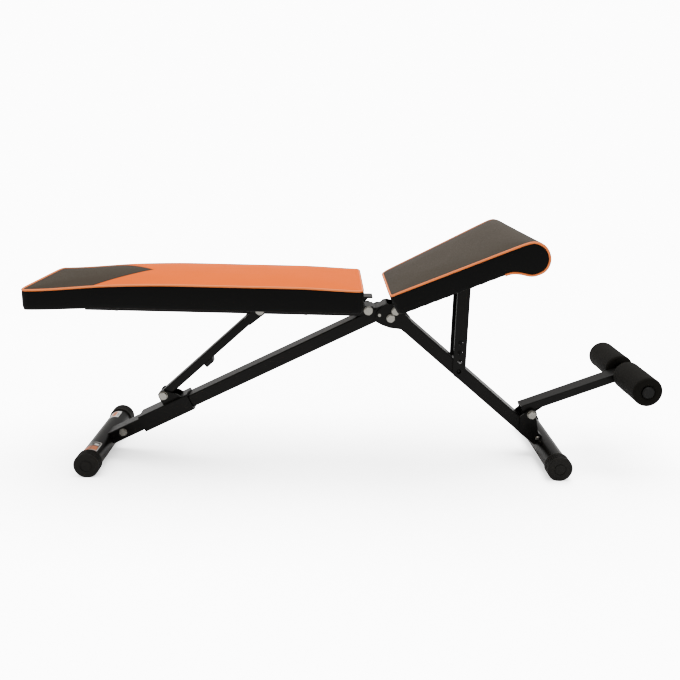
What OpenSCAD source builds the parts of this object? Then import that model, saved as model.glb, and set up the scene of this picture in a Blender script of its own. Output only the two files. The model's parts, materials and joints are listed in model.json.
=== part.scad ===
// Folding weight bench with an adjustable backrest, a tilting seat and a
// foam-roller leg bar. Millimetres, +Z up, +X towards the leg bar, +Y to the
// far side. The origin is on the floor, under the middle of the bench's overall
// length and width. The modules work from the point on the floor midway between
// the foot bars, and place() moves every node to the origin.

/* [Frame] */
// Distance between the two foot bars, centre to centre
foot_span = 1092; // [1000:1:1200]
// Diameter of the round foot bars
foot_d = 50; // [40:1:50]
// Overall width of a foot bar over its end caps
foot_w = 334; // [300:2:420]
// Outer diameter of the ribbed foot caps
cap_d = 58; // [56:1:64]
// Width of the rectangular main tubes
tube_w = 50; // [50:1:50]
// Depth of the rectangular main tubes
tube_h = 30; // [30:1:30]
// Wall of the main tubes
wall = 2; // [1.5:0.5:3]
// Slope of the rear leg
rear_angle = 26.35; // [26:0.05:26.5]
// Slope of the front leg
front_angle = 40.7; // [40.5:0.05:41]

/* [Backrest] */
// Length of the backrest pad
back_len = 754; // [700:2:760]
// Width of the backrest pad
back_w = 286; // [240:2:300]
// Thickness of the backrest pad at its edge, board included
back_t = 56; // [45:1:60]
// Angle of the backrest above level at its lowest stop
back_tilt = 0.73; // [0:0.01:1]

/* [Seat] */
// Tilt of the seat at its highest setting
seat_tilt = 25; // [24:0.5:26]
// Width of the seat pad at the hub end
seat_w1 = 294; // [260:2:300]
// Width of the seat pad at the knee roll
seat_w2 = 426; // [380:2:430]
// Thickness of the flat part of the seat pad, board included
seat_t = 51; // [40:1:56]
// Diameter of the knee roll
roll_d = 75; // [60:1:78]
// Spacing of the height holes in the seat channel
hole_pitch = 24; // [24:0.5:25]
// Diameter of the height holes
hole_d = 12; // [11:0.5:13]

/* [Leg bar] */
// Slope of the leg bar at rest
leg_angle = 21; // [19:0.5:23]
// Distance from the leg bar hinge to the roller axle
leg_reach = 247; // [220:1:280]
// Diameter of the foam rollers
foam_d = 66; // [60:1:80]
// Length of each foam roller
foam_len = 135; // [120:1:150]

/* [Hidden] */
$fn = 48;
eps = 0.01;
cap_flat = 0.6;
foot_z = cap_d / 2 - cap_flat;
hx = foot_span / 2;
// From midway between the foot bars to the middle of the overall length
origin_x = 47.85;
// Pivots, as X and Z
hinge = [100.5, 369.5];
fold = [153.9, 351.5];
seat = [165.2, 368.9];
leg = [507.3, 111.9];
// Rear leg, along the tube from the foot bar's centre
rear_len = 775;
sleeve_u0 = 110;
sleeve_len = 134;
lug_u = 190.6;
lug_v = 41.3;
pin_u = 168;
rear_pitch = 63.8;
// Front leg, along the tube from the foot bar's centre
front_len = 478.6;
// Strut: upper bolt from the backrest hinge, along and below the tube's centre
strut_top = 255.5;
strut_drop = 6;
strut_gap = 42;
strut_end_r = 13;
// Seat, along the tube from its hinge
chan_s = 176;
seat_tube_end = 262;
roll_s = 308;
roll_n = 28.5;
chan_w = 30;
chan_t = 3;
bolt_r = 5;
run = 0.08;
steel = [0.07, 0.07, 0.075];
zinc = [0.78, 0.78, 0.76];
plastic = [0.05, 0.05, 0.05];
foam = [0.06, 0.06, 0.06];
orange = [0.95, 0.42, 0.12];
grey = [0.3, 0.28, 0.26];
ply = [0.72, 0.56, 0.38];

// Which piece to draw

// ---------- frames ----------
module at_rear() translate([-hx, 0, foot_z]) rotate([0, -rear_angle, 0]) children();
module at_front() translate([hx, 0, foot_z]) rotate([0, front_angle, 0]) mirror([1, 0, 0]) children();
module at_back() translate([hinge[0], 0, hinge[1]]) rotate([0, back_tilt, 0]) children();
module at_seat() translate([seat[0], 0, seat[1]]) rotate([0, -seat_tilt, 0]) children();
module at_leg() translate([leg[0], 0, leg[1]]) rotate([0, -leg_angle, 0]) children();

// Strut between its lower bolt on the sleeve and its upper bolt on the backrest
low_x = -hx + lug_u * cos(rear_angle) - lug_v * sin(rear_angle);
low_z = foot_z + lug_u * sin(rear_angle) + lug_v * cos(rear_angle);
up_x = hinge[0] - strut_top * cos(back_tilt) - strut_drop * sin(back_tilt);
up_z = hinge[1] + strut_top * sin(back_tilt) - strut_drop * cos(back_tilt);
strut_len = sqrt(pow(up_x - low_x, 2) + pow(up_z - low_z, 2));
strut_angle = atan2(up_z - low_z, up_x - low_x);
module at_strut() translate([low_x, 0, low_z]) rotate([0, -strut_angle, 0]) children();

// Lower locking point of the seat channel, on the front tube's centre line
chan_x = seat[0] + chan_s * cos(seat_tilt);
chan_z = seat[1] + chan_s * sin(seat_tilt);
lock_u = 294.4;
lock_x = hx - lock_u * cos(front_angle);
lock_z = foot_z + lock_u * sin(front_angle);
chan_len = sqrt(pow(chan_x - lock_x, 2) + pow(chan_z - lock_z, 2));
chan_lean = atan2(chan_x - lock_x, chan_z - lock_z);
module at_channel() translate([chan_x, 0, chan_z]) rotate([0, chan_lean, 0]) children();

module place() translate([-origin_x, 0, 0]) children();

// ---------- shared shapes ----------
// Rectangle with round corners, centred
module rrect(w, h, r) {
  square([w - 2 * r, h], center = true);
  square([w, h - 2 * r], center = true);
  for (x = [-1, 1], y = [-1, 1]) translate([x * (w / 2 - r), y * (h / 2 - r)]) circle(r, $fn = 24);
}
// Tube along +X, width in Y and depth in Z
module box_tube(w, h, t, r, l) rotate([90, 0, 90]) linear_extrude(l) difference() {
  rrect(w, h, r);
  rrect(w - 2 * t, h - 2 * t, max(r - t, 0.6));
}
module box_bar(w, h, r, l) rotate([90, 0, 90]) linear_extrude(l) rrect(w, h, r);
// Cylinder along Y between two Y values
module ycyl(r, y0, y1, fn = 48) translate([0, y0, 0]) rotate([-90, 0, 0]) cylinder(r = r, h = y1 - y0, $fn = fn);
// Plate in the XZ plane from a list of X, Z points, between two Y values
module plate(pts, y0, y1) translate([0, y1, 0]) rotate([90, 0, 0]) linear_extrude(y1 - y0) polygon(pts);
// Hex bolt across the bench: head on the near side, nut on the far side
module hex_bolt(r, y0, y1, head = 17, proud = 6.5) {
  ycyl(r, y0 - 1, y1 + 9);
  translate([0, y0 - 1.5, 0]) rotate([-90, 0, 0]) cylinder(r = head * 0.62, h = 1.5);
  translate([0, y0 - proud - 1.5, 0]) rotate([-90, 0, 0]) rotate([0, 0, 15])
    intersection() {
      cylinder(d = head / cos(30), h = proud, $fn = 6);
      translate([0, 0, -head * 0.28]) cylinder(r1 = head * 0.42, r2 = head * 0.95, h = proud + head * 0.28);
    }
  translate([0, y1, 0]) rotate([-90, 0, 0]) cylinder(r = head * 0.62, h = 1.5);
  translate([0, y1 + 1.5, 0]) rotate([-90, 0, 0]) cylinder(d = head / cos(30), h = 6, $fn = 6);
}
// Ribbed cup over a foot bar's end, open towards +Y
module foot_cap() {
  translate([0, -foot_w / 2, 0]) rotate([-90, 0, 0]) difference() {
    rotate_extrude($fn = 72) difference() {
      polygon([[0, 0], [cap_d / 2 - 3, 0], [cap_d / 2, 3], [cap_d / 2, 30], [cap_d / 2 - 2, 32],
        [foot_d / 2 + eps, 32], [foot_d / 2 + eps, 5], [0, 5]]);
      for (y = [7, 12.5, 18, 23.5]) translate([cap_d / 2 - 1.6, y]) square([3, 2.6]);
    }
    translate([0, 0, -eps]) rotate_extrude() translate([12, 0]) square([2, 1.2]);
  }
}
module foot_caps() {
  intersection() {
    for (k = [0, 1]) mirror([0, k, 0]) foot_cap();
    translate([-50, -300, -foot_z]) cube([100, 600, 200]);
  }
}
module foot_bar() ycyl(foot_d / 2, -foot_w / 2 + 5, foot_w / 2 - 5, 72);
module foot_bore() ycyl(foot_d / 2 - wall, -foot_w / 2, foot_w / 2, 72);
// Spring pin housing on a far face, and its knob
module barrel(y0, y1, r_in) difference() {
  ycyl(9, y0, y1);
  ycyl(r_in, y0 - 1, y1 + 1);
}
module knob(y_tip, y_in, y_out) {
  ycyl(4.2, y_tip, y_in + 6);
  translate([0, y_in, 0]) rotate([-90, 0, 0]) rotate_extrude()
    polygon([[0, 0], [9, 0], [10.5, 3], [14, 7], [14, 14], [11, 19], [0, y_out - y_in]]);
}
// Dome-headed screw pointing up, head below z = 0
module dome_screw(l) {
  cylinder(r = 3.9, h = l);
  translate([0, 0, -1.5]) cylinder(r = 9, h = 1.5);
  rotate_extrude() intersection() {
    translate([0, 3.5]) circle(9.6);
    translate([0, -6.1]) square([9, 4.6]);
  }
}

// ---------- rear leg ----------
module rear_foot_tube() color(steel) translate([-hx, 0, foot_z]) difference() {
  foot_bar();
  foot_bore();
}
module rear_foot_caps() color(plastic) translate([-hx, 0, foot_z]) foot_caps();
module rear_tube() color(steel) difference() {
  at_rear() box_tube(tube_w, tube_h, wall, 3, rear_len);
  translate([-hx, 0, foot_z]) ycyl(foot_d / 2, -60, 60, 72);
  at_rear() translate([57.7, 0, 2]) ycyl(bolt_r, -60, 60);
  at_rear() for (k = [0:3]) translate([pin_u + k * rear_pitch, 0, 0]) ycyl(5.2, 10, 60);
  translate([hinge[0], 0, hinge[1]]) ycyl(6.3, -60, 60);
  translate([fold[0], 0, fold[1]]) ycyl(8, -60, 60);
}
module rear_tube_plug() color(plastic) difference() {
  at_rear() union() {
    translate([rear_len - 16, 0, 0]) box_bar(tube_w - 2 * wall, tube_h - 2 * wall, 1, 16);
    translate([rear_len, 0, 0]) box_bar(tube_w, tube_h, 3, 2.5);
  }
  translate([fold[0], 0, fold[1]]) ycyl(8, -60, 60);
}
// Block that carries the backrest hinge on top of the rear tube
module hinge_saddle() color(steel) difference() {
  union() {
    translate([hinge[0] - 9, -25, 350]) cube([26.5, 50, hinge[1] + 6.5 - 350]);
    translate([hinge[0] - 8, -25, hinge[1] + 6]) cube([20, 50, 3.2]);
    translate([hinge[0], 0, hinge[1]]) ycyl(6.3, -25.5, 25.5);
  }
  translate([hinge[0], 0, hinge[1]]) ycyl(bolt_r - 1, -60, 60);
  difference() {
    at_rear() translate([500, -40, -60]) cube([300, 80, 60 + tube_h / 2]);
    translate([hinge[0], 0, hinge[1]]) ycyl(6.3, -25.5, 25.5);
  }
}
module fold_bush() color(steel) translate([fold[0], 0, fold[1]]) difference() {
  ycyl(8, -25.5, 25.5);
  ycyl(bolt_r, -60, 60);
}
module rear_foot_bolt() color(zinc) at_rear() translate([57.7, 0, 2]) hex_bolt(bolt_r, -25, 25, 15, 5);
module hinge_bolt() color(zinc) translate([hinge[0], 0, hinge[1]]) hex_bolt(bolt_r - 1, -30.2, 30.2, 17);
module fold_bolt() color(zinc) translate([fold[0], 0, fold[1]]) hex_bolt(bolt_r, -30.2, 30.2, 16);

// ---------- backrest ----------
back_x1 = -16.5;
back_x0 = back_x1 - back_len;
module back_tube() color(steel) at_back() difference() {
  translate([-664, 0, 0]) box_tube(tube_w, tube_h, wall, 3, 647.7);
  // Slot in which the strut's upper bolt moves, with its way out at the bottom
  translate([-strut_top, 0, -strut_drop]) {
    ycyl(6.4, -60, 60);
    translate([14, 0, 4.4]) ycyl(6.4, -60, 60);
    rotate([0, -17.4, 0]) translate([0, -60, -6.4]) cube([14.7, 120, 12.8]);
    plate([[-16, -20], [-16, -7], [-5, 4], [6.4, 0], [6.4, -20]], -60, 60);
  }
  // Clearance above the sloping rear tube
  plate([[-38, -20], [-38, -14.5], [-18, -5], [-12, -5], [-12, -20]], -60, 60);
  for (x = [-600, -148]) translate([x, 0, -20]) cylinder(r = 4, h = 50);
}
// Hinge plates on both sides of the backrest tube
module back_arms() color(steel) at_back() for (s = [-1, 1]) difference() {
  union() {
    plate([[-62, -13], [-62, 11], [-54, 14], [-19, 14], [-6, 6], [-6, -9], [-19, -13]],
      s > 0 ? 25 : -30, s > 0 ? 30 : -25);
    ycyl(9.5, s > 0 ? 25 : -30, s > 0 ? 30 : -25);
  }
  translate([0, -50, -20]) plate([[-45, -1], [-45, 5.5], [-18.5, 16], [-18.5, 60], [30, 60], [30, -1]], 24, 76);
  ycyl(bolt_r - 1 + run, -60, 60);
}
// Tab at the hub end, closing the tube and rising past the pad's end
module back_end_tab() color(steel) at_back() {
  translate([-16.3, -22, -4]) cube([3, 44, 35]);
  translate([-13.3, -20, 28]) cube([22.8, 40, 3]);
  plate([[-13.3, 8], [-13.3, 28], [2, 28]], -2, 2);
}
module back_plug() color(plastic) at_back() {
  translate([-664, 0, 0]) box_bar(tube_w - 2 * wall, tube_h - 2 * wall, 1, 14);
  translate([-667, 0, 0]) box_bar(tube_w, tube_h, 3, 3);
}
module back_board() color(ply) at_back() difference() {
  translate([back_x0 + 12, -back_w / 2 + 12, tube_h / 2]) cube([back_len - 24, back_w - 24, 12]);
  for (x = [-600, -148]) translate([x, 0, 0]) cylinder(r = 4, h = 50);
}
module back_pad() color(orange) at_back() difference() {
  union() {
    translate([(back_x0 + back_x1) / 2, 0, tube_h / 2]) linear_extrude(back_t - 4) rrect(back_len, back_w, 6);
    hull() {
      translate([back_x0 + 10, 10 - back_w / 2, tube_h / 2 + back_t - 6]) cube([back_len - 20, back_w - 20, 2]);
      translate([back_x0 + 60, -60, tube_h / 2 + back_t - 2]) cube([back_len - 120, 120, 4]);
    }
  }
  translate([back_x0 + 12, -back_w / 2 + 12, tube_h / 2 - 1]) cube([back_len - 24, back_w - 24, 13]);
}
module back_pad_bolts() color(zinc) at_back() for (x = [-600, -148])
  translate([x, 0, -tube_h / 2]) dome_screw(tube_h + 9);

// ---------- adjusting sleeve and strut ----------
module sleeve_tube() color(steel) difference() {
  at_rear() translate([sleeve_u0, 0, 0]) box_tube(60, 41, 3, 3.4, sleeve_len);
  at_rear() translate([pin_u, 0, 0]) ycyl(4.3, 20, 40);
}
module sleeve_liner() color(plastic) difference() {
  at_rear() translate([sleeve_u0, 0, 0]) rotate([90, 0, 90]) linear_extrude(sleeve_len) difference() {
    rrect(54, 35, 0.6);
    rrect(50.8, 30.8, 3);
  }
  at_rear() translate([pin_u, 0, 0]) ycyl(4.3, 20, 40);
}
module strut_lugs() color(steel) at_rear() for (s = [-1, 1]) difference() {
  union() {
    translate([lug_u, 0, lug_v]) ycyl(12.5, s > 0 ? 16 : -20, s > 0 ? 20 : -16);
    plate([[lug_u - 12.5, 20.5], [lug_u - 12.5, lug_v], [lug_u + 6, lug_v + 11],
      [lug_u + 31, 29], [lug_u + 36, 20.5]], s > 0 ? 16 : -20, s > 0 ? 20 : -16);
  }
  translate([lug_u, 0, lug_v]) ycyl(bolt_r, -60, 60);
}
module strut_lower_bolt() color(zinc) at_rear() translate([lug_u, 0, lug_v]) hex_bolt(bolt_r, -20, 20, 17);
module sleeve_barrel() color(zinc) at_rear() translate([pin_u, 0, 0]) barrel(30, 42, 4.3);
module sleeve_knob() color(plastic) at_rear() translate([pin_u, 0, 0]) knob(25.4, 42, 64);

module strut_tube() color(steel) at_strut() difference() {
  translate([-11, 0, 0]) box_tube(30, 20, wall, 2.6, strut_len - strut_gap + 11);
  ycyl(8, -60, 60);
}
module strut_bush() color(steel) at_strut() difference() {
  ycyl(8, -15.6, 15.6);
  ycyl(bolt_r + run, -60, 60);
}
module strut_fork() color(steel) at_strut() {
  difference() {
    for (s = [-1, 1]) {
      translate([strut_len, 0, 0]) ycyl(strut_end_r, s > 0 ? 26 : -30, s > 0 ? 30 : -26);
      plate([[strut_len - strut_gap, -10], [strut_len - strut_gap, 10], [strut_len - 3, 12.65],
        [strut_len - 3, -12.65]], s > 0 ? 26 : -30, s > 0 ? 30 : -26);
    }
    translate([strut_len, 0, 0]) ycyl(bolt_r, -60, 60);
  }
  translate([strut_len - strut_gap, -26, -10]) cube([4, 52, 20]);
}
module strut_upper_bolt() color(zinc) at_strut() translate([strut_len, 0, 0]) hex_bolt(bolt_r, -30, 30, 17);
module strut_bumper() color(plastic) at_strut() difference() {
  translate([126, -11, -20]) cube([26, 22, 10]);
  translate([147, -30, -20]) rotate([0, 35, 0]) cube([20, 60, 20], center = false);
}

// ---------- front leg ----------
module front_foot_tube() color(steel) translate([hx, 0, foot_z]) difference() {
  foot_bar();
  foot_bore();
}
module front_foot_caps() color(plastic) translate([hx, 0, foot_z]) foot_caps();
module front_tube() color(steel) difference() {
  at_front() box_tube(tube_w, tube_h, wall, 3, front_len);
  translate([hx, 0, foot_z]) ycyl(foot_d / 2, -60, 60, 72);
  at_front() translate([lock_u, 0, 0]) ycyl(5.1, -60, 60);
  at_front() translate([29, 0, 4]) ycyl(3, -60, 0);
}
hub_pts = [[119, 343], [117.5, 352], [121, 366], [138, 384.5], [147, 386], [172, 381], [206, 341.5],
  [186, 319], [179, 325], [167, 326.6], [153, 328.2], [134, 334.8]];
module hub_plates() color(steel) for (s = [-1, 1]) difference() {
  plate(hub_pts, s > 0 ? 25 : -30, s > 0 ? 30 : -25);
  difference() {
    translate([90, -26, 300]) cube([130, 52, 100]);
    at_front() translate([0, -60, -60]) cube([front_len + 3, 120, 120]);
  }
  translate([fold[0], 0, fold[1]]) ycyl(bolt_r + run, -60, 60);
  translate([seat[0], 0, seat[1]]) ycyl(bolt_r, -60, 60);
  translate([127.2, 0, 358.6]) ycyl(s > 0 ? 4.3 : 3.6, -60, 60);
}
module seat_bolt() color(zinc) translate([seat[0], 0, seat[1]]) hex_bolt(bolt_r, -30, 30, 16);
leg_pts = [[480, 106], [480, 66], [511, 40], [528, 61], [519.5, 105], [514, 121], [501, 123.5]];
module leg_bracket() color(steel) for (s = [-1, 1]) difference() {
  union() {
    plate(leg_pts, s > 0 ? 25 : -29, s > 0 ? 29 : -25);
    translate([leg[0], 0, leg[1]]) ycyl(13, s > 0 ? 25 : -29, s > 0 ? 29 : -25);
  }
  translate([hx, 0, foot_z]) ycyl(foot_d / 2, -60, 60, 72);
  translate([leg[0], 0, leg[1]]) ycyl(bolt_r, -60, 60);
}
module leg_bolt() color(zinc) translate([leg[0], 0, leg[1]]) hex_bolt(bolt_r, -29, 29, 17);
module front_foot_screw() color(zinc) at_front() translate([29, 0, 4]) {
  ycyl(2.9, -29, -10);
  translate([0, -32, 0]) rotate([-90, 0, 0]) cylinder(r1 = 3, r2 = 4.8, h = 3);
}
module fold_barrel() color(zinc) translate([127.2, 0, 358.6]) {
  barrel(30, 42, 4.3);
  difference() {
    ycyl(3.6, -31.2, -26.2);
    translate([0, -32, 0]) rotate([-90, 0, 0]) cylinder(r = 1.2, h = 1.5);
  }
}
module fold_knob() color(plastic) translate([127.2, 0, 358.6]) knob(26.2, 42, 64);
// Leaf spring inside the front tube that carries the two lock buttons
module button_clip() color(zinc) at_front() translate([lock_u, 0, 0]) {
  for (s = [-1, 1]) translate([-6, s > 0 ? 13.2 : -14.2, -6]) cube([46, 1, 12]);
  translate([39, -14.2, -6]) cube([1, 28.4, 12]);
}
module button(s) color(plastic) at_front() translate([lock_u, 0, 0]) mirror([0, s > 0 ? 1 : 0, 0])
  translate([0, -25.7, 0]) rotate([-90, 0, 0]) rotate_extrude()
    polygon([[0, 0], [2.6, 0.2], [4.2, 1.1], [5, 2.6], [5, 7.4], [0, 7.4]]);
module button_near() button(-1);
module button_far() button(1);

// ---------- seat ----------
module seat_tube() color(steel) at_seat() difference() {
  translate([4, 0, 0]) box_tube(tube_w, tube_h, wall, 3, seat_tube_end - 4);
  ycyl(10, -60, 60);
  translate([chan_s, 0, 0]) ycyl(bolt_r, -60, 60);
  for (s = [36, 232]) translate([s, 0, -20]) cylinder(r = 4, h = 50);
}
module seat_bush() color(steel) at_seat() difference() {
  ycyl(10, -25.6, 25.6);
  ycyl(bolt_r + run, -60, 60);
}
module seat_plug() color(plastic) at_seat() {
  translate([seat_tube_end - 14, 0, 0]) box_bar(tube_w - 2 * wall, tube_h - 2 * wall, 1, 14);
  translate([seat_tube_end, 0, 0]) box_bar(tube_w, tube_h, 3, 3);
}
seat_s0 = 3;
function half_w(s) = seat_w1 / 2 + (seat_w2 - seat_w1) / 2 * (s - seat_s0) / (roll_s - seat_s0);
board_pts = [[seat_s0 + 12, -half_w(12) + 12], [290, -half_w(290) + 12], [290, half_w(290) - 12],
  [seat_s0 + 12, half_w(12) - 12]];
module seat_board() color(ply) at_seat() difference() {
  translate([0, 0, tube_h / 2]) linear_extrude(12) polygon(board_pts);
  for (s = [36, 232]) translate([s, 0, 0]) cylinder(r = 4, h = 50);
}
module seat_pad() color(grey) at_seat() difference() {
  union() {
    hull() for (y = [-1, 1]) {
      translate([seat_s0 + 5, y * (half_w(5) - 5), tube_h / 2 + 1]) cylinder(r = 5, h = seat_t - 3, $fn = 24);
      translate([roll_s - 20, y * (half_w(roll_s - 20) - 4), tube_h / 2 + 1]) cylinder(r = 4, h = seat_t - 2, $fn = 24);
    }
    translate([roll_s, 0, roll_n]) rotate([90, 0, 0]) cylinder(d = roll_d, h = seat_w2 - 8, center = true, $fn = 64);
    translate([roll_s, 0, roll_n]) rotate([90, 0, 0]) cylinder(d = roll_d - 10, h = seat_w2, center = true, $fn = 64);
  }
  translate([0, 0, tube_h / 2]) linear_extrude(12) polygon(board_pts);
}
module seat_pad_bolts() color(zinc) at_seat() for (s = [36, 232])
  translate([s, 0, -tube_h / 2]) dome_screw(tube_h + 9);
module channel_bolt() color(zinc) at_seat() translate([chan_s, 0, 0]) hex_bolt(bolt_r, -29.2, 29.2, 15, 5);
// Open-sided channel with the height holes
module seat_channel() color(steel) at_channel() difference() {
  union() {
    for (s = [-1, 1]) {
      translate([-chan_w / 2, s > 0 ? 26 : -29, -chan_len]) cube([chan_w, chan_t, chan_len - 5]);
      ycyl(chan_w / 2 - 1, s > 0 ? 26 : -29, s > 0 ? 29 : -26);
      translate([0, 0, -chan_len]) ycyl(chan_w / 2, s > 0 ? 26 : -29, s > 0 ? 29 : -26);
    }
    translate([chan_w / 2 - chan_t, -29, -chan_len + 3 * hole_pitch + 24])
      cube([chan_t, 58, chan_len - 3 * hole_pitch - 24 - 30]);
  }
  ycyl(bolt_r + run, -60, 60);
  for (k = [0:3]) translate([0, 0, -chan_len + k * hole_pitch]) ycyl(hole_d / 2, -60, 60);
}

// ---------- leg bar ----------
module leg_tube() color(steel) at_leg() difference() {
  translate([-17, 0, 15.5]) box_tube(40, 20, wall, 2.6, leg_reach + 17);
  translate([leg_reach, 0, 15.5]) ycyl(12.5, -60, 60);
}
module leg_lugs() color(steel) at_leg() for (s = [-1, 1]) difference() {
  union() {
    plate([[-11, 5.5], [-11, 0], [11, 0], [30, 5.5]], s > 0 ? 16 : -20, s > 0 ? 20 : -16);
    ycyl(11, s > 0 ? 16 : -24.6, s > 0 ? 24.6 : -16);
  }
  translate([-30, -60, 5.5]) cube([100, 120, 30]);
  ycyl(bolt_r + run, -60, 60);
}
module axle_tube() color(steel) at_leg() translate([leg_reach, 0, 15.5]) difference() {
  ycyl(12.5, -158, 158);
  ycyl(11, -160, 160);
}
module axle_plugs() color(plastic) at_leg() translate([leg_reach, 0, 15.5]) for (k = [0, 1])
  mirror([0, k, 0]) {
    ycyl(11, -158, -146);
    translate([0, -161, 0]) rotate([-90, 0, 0]) cylinder(r1 = 11.5, r2 = 14, h = 3);
  }
module roller(s) color(foam) at_leg() translate([leg_reach, 0, 15.5]) mirror([0, s > 0 ? 1 : 0, 0])
  translate([0, -22.3 - foam_len, 0]) rotate([-90, 0, 0]) rotate_extrude($fn = 72)
    polygon([[12.58, 0], [foam_d / 2 - 3, 0], [foam_d / 2, 3], [foam_d / 2, foam_len - 3],
      [foam_d / 2 - 3, foam_len], [12.58, foam_len]]);
module roller_near() roller(-1);
module roller_far() roller(1);

place() rear_foot_tube();
place() rear_foot_caps();
place() rear_tube();
place() rear_tube_plug();
place() hinge_saddle();
place() fold_bush();
place() rear_foot_bolt();
place() hinge_bolt();
place() fold_bolt();
place() back_tube();
place() back_arms();
place() back_end_tab();
place() back_plug();
place() back_board();
place() back_pad();
place() back_pad_bolts();
place() sleeve_tube();
place() sleeve_liner();
place() strut_lugs();
place() strut_lower_bolt();
place() sleeve_barrel();
place() sleeve_knob();
place() strut_tube();
place() strut_fork();
place() strut_bush();
place() strut_upper_bolt();
place() strut_bumper();
place() front_foot_tube();
place() front_foot_caps();
place() front_tube();
place() hub_plates();
place() seat_bolt();
place() leg_bracket();
place() leg_bolt();
place() front_foot_screw();
place() fold_barrel();
place() button_clip();
place() fold_knob();
place() button_near();
place() button_far();
place() seat_tube();
place() seat_bush();
place() seat_plug();
place() seat_board();
place() seat_pad();
place() seat_pad_bolts();
place() channel_bolt();
place() seat_channel();
place() leg_tube();
place() leg_lugs();
place() axle_tube();
place() axle_plugs();
place() roller_near();
place() roller_far();
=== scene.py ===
"""Looks for a folding weight bench: upholstery, rollers, labels, welds, finishes and stage."""
import json
import math

import bmesh
import bpy
from mathutils import Matrix, Vector, noise
from mathutils.bvhtree import BVHTree
from mathutils.kdtree import KDTree


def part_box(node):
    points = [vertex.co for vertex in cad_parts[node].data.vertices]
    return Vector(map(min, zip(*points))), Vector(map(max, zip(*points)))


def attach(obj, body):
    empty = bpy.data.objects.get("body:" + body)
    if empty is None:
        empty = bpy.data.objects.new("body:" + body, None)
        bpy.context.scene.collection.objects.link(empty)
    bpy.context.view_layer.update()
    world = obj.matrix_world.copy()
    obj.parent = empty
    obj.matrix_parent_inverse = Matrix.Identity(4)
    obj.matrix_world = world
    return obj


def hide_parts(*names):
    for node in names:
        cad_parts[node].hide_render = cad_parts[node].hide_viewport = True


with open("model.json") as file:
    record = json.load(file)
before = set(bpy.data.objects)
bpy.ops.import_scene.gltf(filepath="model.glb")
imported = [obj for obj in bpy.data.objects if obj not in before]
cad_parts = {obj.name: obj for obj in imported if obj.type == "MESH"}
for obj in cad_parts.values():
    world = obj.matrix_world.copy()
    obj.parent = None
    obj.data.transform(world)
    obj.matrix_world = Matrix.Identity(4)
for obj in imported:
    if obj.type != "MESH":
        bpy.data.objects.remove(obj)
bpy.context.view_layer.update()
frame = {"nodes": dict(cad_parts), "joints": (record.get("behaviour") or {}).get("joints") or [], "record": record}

bl_info = {
    "name": "Weight Bench Upholstery and Finishes",
    "version": (1, 0, 0),
    "blender": (4, 5, 0),
    "location": "View3D > Sidebar > Bench",
    "description": "Builds the soft parts, trim and finishes of a folding weight bench around its frame",
    "category": "Object",
}

MM = 0.001


# ---------- places taken from the frame ----------
def joint(name):
    """The frame's joint of that name."""
    return next(j for j in frame["joints"] if j["name"] == name)


def hinge_frame(name, degrees):
    """Local axes at a hinge: x along the pad, z square to it."""
    place = Matrix.Translation(Vector(joint(name)["pos_m"]))
    return place @ Matrix.Rotation(math.radians(degrees), 4, "Y")


BACK_TILT = 0.73
SEAT_TILT = 25.0
BACK_FRAME = hinge_frame("backrest_tilt", BACK_TILT)
SEAT_FRAME = hinge_frame("seat_tilt", -SEAT_TILT)


# ---------- properties ----------
def length(name, description, default):
    """A length property, never negative."""
    return bpy.props.FloatProperty(
        name=name, description=description, default=default, min=0.0, subtype="DISTANCE", unit="LENGTH")


def colour(name, description, default):
    """A colour property."""
    return bpy.props.FloatVectorProperty(
        name=name, description=description, default=default, size=3, min=0.0, max=1.0, subtype="COLOR")


class BenchPads(bpy.types.PropertyGroup):
    """Sizes of the two pads and their trim."""
    voxel: length("Cover mesh size", "Size of the squares that the pad covers are made of", 5.5 * MM)
    back_corner: length("Backrest corner", "Radius of the backrest pad's corners seen from above", 15 * MM)
    back_crown: length("Backrest crown", "How far the middle of the backrest stands above its edges", 4 * MM)
    head_droop: length("Head end droop", "How far the top edge drops at the head end", 11.5 * MM)
    head_sag: length("Head end sag", "How far the whole head end hangs below the line of the board", 7.5 * MM)
    hub_droop: length("Hub end droop", "How far the top edge drops at the hub end", 4.5 * MM)
    seat_corner: length("Seat corner", "Radius of the seat pad's corners at the hub end", 14 * MM)
    puff: length("Puff", "Most that the foam pushes a cover out", 5 * MM)
    piping: length("Piping radius", "Radius of the piping along the pad edges", 2.4 * MM)
    seam_depth: length("Seam depth", "Depth of the sewn seam between the backrest's two colours", 1.3 * MM)


class BenchColours(bpy.types.PropertyGroup):
    """Colours of the finishes."""
    orange: colour("Orange vinyl", "Backrest top", (0.74, 0.106, 0.0005))
    # The piping colour is the backrest's orange vinyl made lighter: a painted highlight on the round cord.
    trim: colour("Piping", "Piping along the pad edges", (0.88, 0.20, 0.035))
    grey: colour("Grey vinyl", "Seat top and backrest head panel", (0.036, 0.0285, 0.0205))
    side: colour("Side vinyl", "Sides and underside of both pads", (0.0028, 0.0028, 0.0027))
    steel: colour("Powder coat", "Frame tubes and plates", (0.0022, 0.0020, 0.0017))
    zinc: colour("Zinc", "Bolts, nuts and screws", (0.34, 0.33, 0.30))
    rubber: colour("Rubber", "Foot caps", (0.0072, 0.0066, 0.0056))
    plastic: colour("Plastic", "Plugs, liners, knobs and buttons", (0.005, 0.005, 0.0048))
    foam: colour("Foam", "Roller sleeves", (0.0044, 0.0040, 0.0031))
    ply: colour("Plywood", "Pad boards", (0.52, 0.36, 0.20))
    label: colour("Label", "White of the labels", (0.80, 0.79, 0.77))


class BenchStage(bpy.types.PropertyGroup):
    """Light and floor."""
    floor_radius: length("Floor radius", "Radius of the floor disc", 14.0)
    overhead: bpy.props.FloatProperty(
        name="Overhead light", description="Power of the large soft light above", default=120.0, unit="POWER")
    sky: bpy.props.FloatProperty(
        name="Surround", description="Brightness of the studio surround", default=0.9)
    backdrop: bpy.props.FloatProperty(
        name="Backdrop", description="Brightness behind the bench", default=12.0)


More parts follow.
